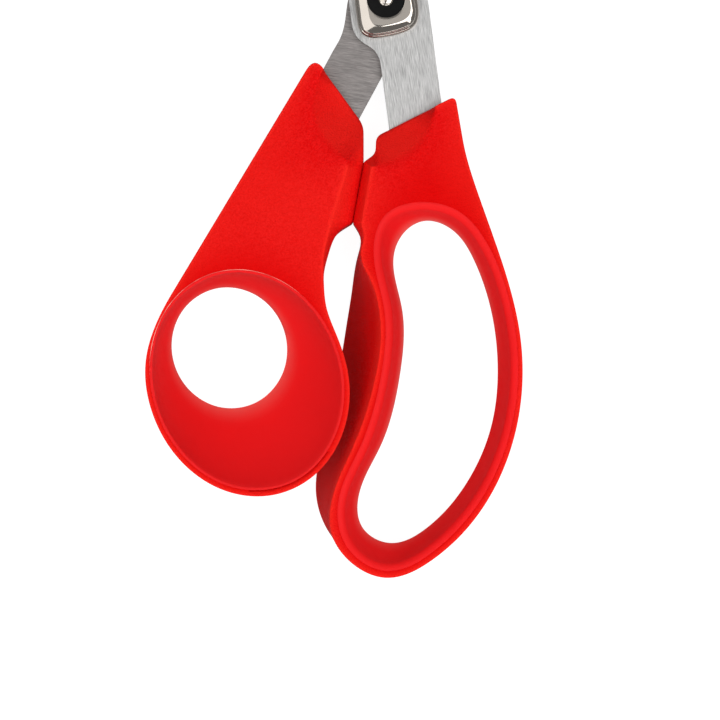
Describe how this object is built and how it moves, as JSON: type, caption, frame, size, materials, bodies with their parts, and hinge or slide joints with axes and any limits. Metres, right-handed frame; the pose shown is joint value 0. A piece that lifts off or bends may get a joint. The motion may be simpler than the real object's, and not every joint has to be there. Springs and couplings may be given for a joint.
{
  "type": "floral snips",
  "caption": "Floral snips with pointed steel blades, a chromed pivot cover and moulded handles lined with soft gel: a round thumb loop and a long finger loop.",
  "frame": {"origin": "on the pivot axis, at the rear face of the pivot bolt's flat head", "axes": "+Y along the closed blades to their tips, +X to the finger handle, +Z out of the front face, the side of the pivot cover"},
  "size_m": [0.0869, 0.2125, 0.018],
  "materials": {
    "blade_steel": "ground and brushed stainless steel",
    "pivot_steel": "satin plated steel",
    "cover_chrome": "bright chrome",
    "cover_black": "black enamel",
    "red_shell": "fine spark-eroded texture",
    "red_gel": "smooth soft gel, slightly translucent"
  },
  "bodies": {
    "finger_side": {"front_blade": "blade_steel", "finger_handle": "red_shell", "finger_grip": "red_gel", "pivot_bolt": "pivot_steel", "thrust_washer": "pivot_steel", "spring_washer": "pivot_steel", "lock_nut": "pivot_steel", "pivot_cover": "cover_chrome", "cover_disc": "cover_black"},
    "thumb_side": {"rear_blade": "blade_steel", "thumb_handle": "red_shell", "thumb_grip": "red_gel"}
  },
  "joints": [
    {"name": "blade_pivot", "type": "hinge", "parent": "finger_side", "child": "thumb_side", "pos_m": [0, 0, 0.0036], "axis": [0, 0, -1], "range_deg": [0, 55]}
  ]
}
